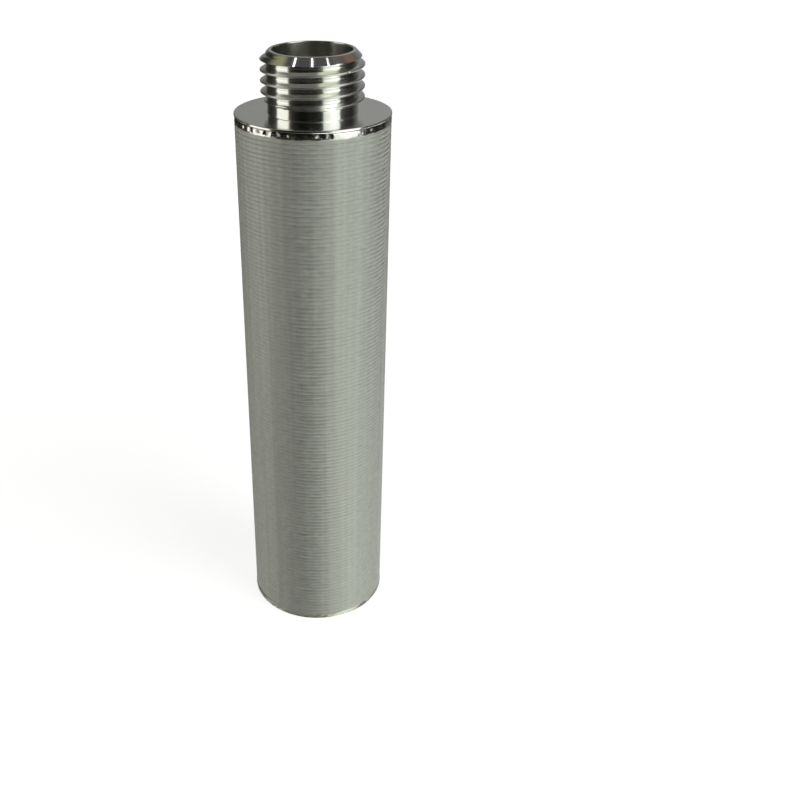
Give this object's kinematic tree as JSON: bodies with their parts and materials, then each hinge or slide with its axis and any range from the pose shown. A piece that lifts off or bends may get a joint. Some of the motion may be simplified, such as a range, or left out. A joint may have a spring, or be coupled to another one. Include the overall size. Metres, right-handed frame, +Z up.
{
  "type": "dust filter element",
  "caption": "Cylindrical wire-wound metal filter element with a blind foot and a threaded, bored neck for mounting in a duct or housing plate.",
  "frame": {"origin": "centre of the flat foot, on the axis", "axes": "+Z up the axis, from the blind foot to the threaded neck"},
  "size_m": [0.0306, 0.0306, 0.1265],
  "materials": {
    "satin_wire": "satin, drawn profile wire",
    "turned_steel": "bright turned",
    "cap_steel": "matt face, bright welded rim",
    "rod_steel": "plain drawn"
  },
  "bodies": {
    "root": {"wound_profile_wire": "satin_wire", "threaded_end_fitting": "turned_steel", "blind_end_cap": "cap_steel", "support_rod_01": "rod_steel", "support_rod_02": "rod_steel", "support_rod_03": "rod_steel", "support_rod_04": "rod_steel", "support_rod_05": "rod_steel", "support_rod_06": "rod_steel", "support_rod_07": "rod_steel", "support_rod_08": "rod_steel", "support_rod_09": "rod_steel", "support_rod_10": "rod_steel", "support_rod_11": "rod_steel", "support_rod_12": "rod_steel", "support_rod_13": "rod_steel", "support_rod_14": "rod_steel", "support_rod_15": "rod_steel", "support_rod_16": "rod_steel", "support_rod_17": "rod_steel", "support_rod_18": "rod_steel", "support_rod_19": "rod_steel", "support_rod_20": "rod_steel"}
  },
  "joints": []
}
